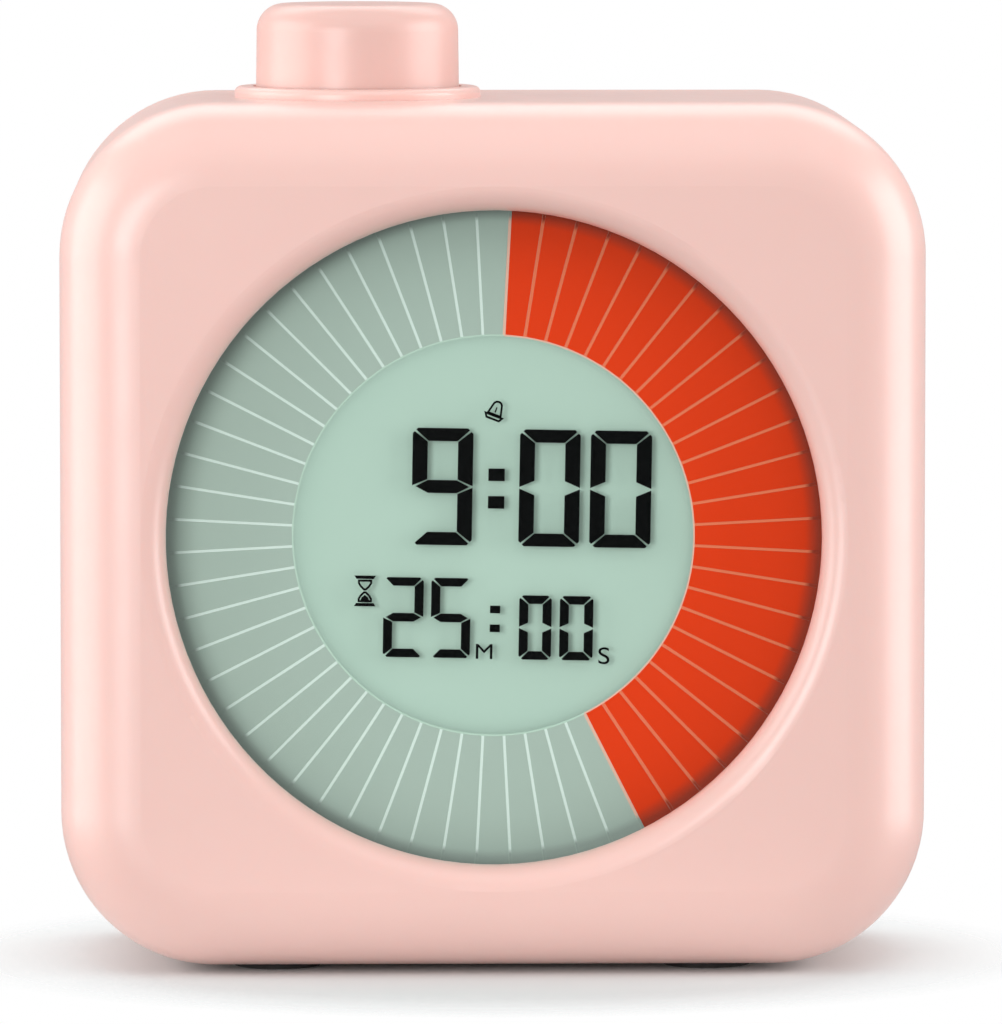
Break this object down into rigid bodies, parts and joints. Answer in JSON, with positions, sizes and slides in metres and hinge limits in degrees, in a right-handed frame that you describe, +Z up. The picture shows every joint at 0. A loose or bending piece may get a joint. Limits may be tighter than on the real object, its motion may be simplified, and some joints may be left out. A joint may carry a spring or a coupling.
{
  "type": "visual countdown timer",
  "caption": "Rounded-square tabletop countdown timer with a round segmented display, a push-and-turn top knob and rear buttons, sound switch and battery door.",
  "frame": {"origin": "on the table plane, under the middle of the case, level with the bottom of the feet", "axes": "+Z up, the display window faces -Y, +X to the right as seen from the front"},
  "size_m": [0.08, 0.04, 0.0893],
  "materials": {
    "case": "satin moulded pink plastic",
    "knob": "satin moulded pink plastic",
    "button": "satin moulded plastic, a shade deeper",
    "slider": "white moulded plastic",
    "rubber": "soft rubber",
    "seal": "silicone",
    "foam": "black foam",
    "tape": "adhesive film",
    "lens": "clear acrylic",
    "film": "polarising film",
    "glass": "display glass",
    "red": "red display segment",
    "grey": "grey-green display segment",
    "reflector": "pale green reflector",
    "guide": "clear light guide",
    "white_plastic": "white moulded plastic",
    "dark_plastic": "black moulded plastic",
    "zebra": "conductive silicone",
    "board": "green circuit board",
    "epoxy": "black epoxy",
    "steel": "zinc-plated steel",
    "contact": "nickel-plated spring steel",
    "brass": "brass",
    "cell": "plain sleeve",
    "ribbon": "flat flexible cable",
    "lead": "insulated lead"
  },
  "bodies": {
    "housing": {"front_shell": "case", "rear_cover": "case", "case_seal": "seal", "case_screws": "steel", "rubber_feet": "rubber", "lens_tape": "tape", "window_lens": "lens", "display_gasket": "foam", "front_polariser": "film", "front_glass": "glass", "rear_glass": "glass", "minutes_left": "red", "minutes_gone": "grey", "reflector_film": "reflector", "backlight_guide": "guide", "backlight_leds": "white_plastic", "display_frame": "white_plastic", "zebra_strip": "zebra", "main_board": "board", "board_screws": "steel", "controller_blob": "epoxy", "encoder_base": "steel", "encoder_washer": "steel", "encoder_nut": "steel", "key_board": "board", "key_board_screws": "steel", "tact_switches": "dark_plastic", "sound_switch": "dark_plastic", "buzzer_case": "dark_plastic", "buzzer_disc": "brass", "battery_cells": "cell", "positive_contact": "contact", "negative_contact": "contact", "link_contact": "contact", "ribbon_cable": "ribbon", "battery_leads": "lead", "buzzer_leads": "lead", "encoder_leads": "lead"},
    "rotor": {"encoder_rotor": "dark_plastic"},
    "knob": {"knob_cap": "knob", "encoder_shaft": "steel"},
    "mode_key": {"mode_button": "button", "mode_plunger": "dark_plastic"},
    "set_key": {"set_button": "button", "set_plunger": "dark_plastic"},
    "slider": {"sound_slider": "slider"},
    "door": {"battery_door": "case"}
  },
  "joints": [
    {"name": "knob_turn", "type": "hinge", "parent": "housing", "child": "rotor", "pos_m": [-0.0124, 0, 0.08], "axis": [0, 0, 1], "continuous": true},
    {"name": "knob_press", "type": "slide", "parent": "rotor", "child": "knob", "axis": [0, 0, -1], "range_m": [0, 0.0006], "stiffness_N_per_m": 900, "springref_m": -0.0006},
    {"name": "mode_press", "type": "slide", "parent": "housing", "child": "mode_key", "axis": [0, -1, 0], "range_m": [0, 0.0005], "stiffness_N_per_m": 600, "springref_m": -0.0005},
    {"name": "set_press", "type": "slide", "parent": "housing", "child": "set_key", "axis": [0, -1, 0], "range_m": [0, 0.0005], "stiffness_N_per_m": 600, "springref_m": -0.0005},
    {"name": "sound_slide", "type": "slide", "parent": "housing", "child": "slider", "axis": [1, 0, 0], "range_m": [-0.002, 0.002]},
    {"name": "door_swing", "type": "hinge", "parent": "housing", "child": "door", "pos_m": [0, 0.0199, 0.0111], "axis": [-1, 0, 0], "range_deg": [0, 60]}
  ]
}
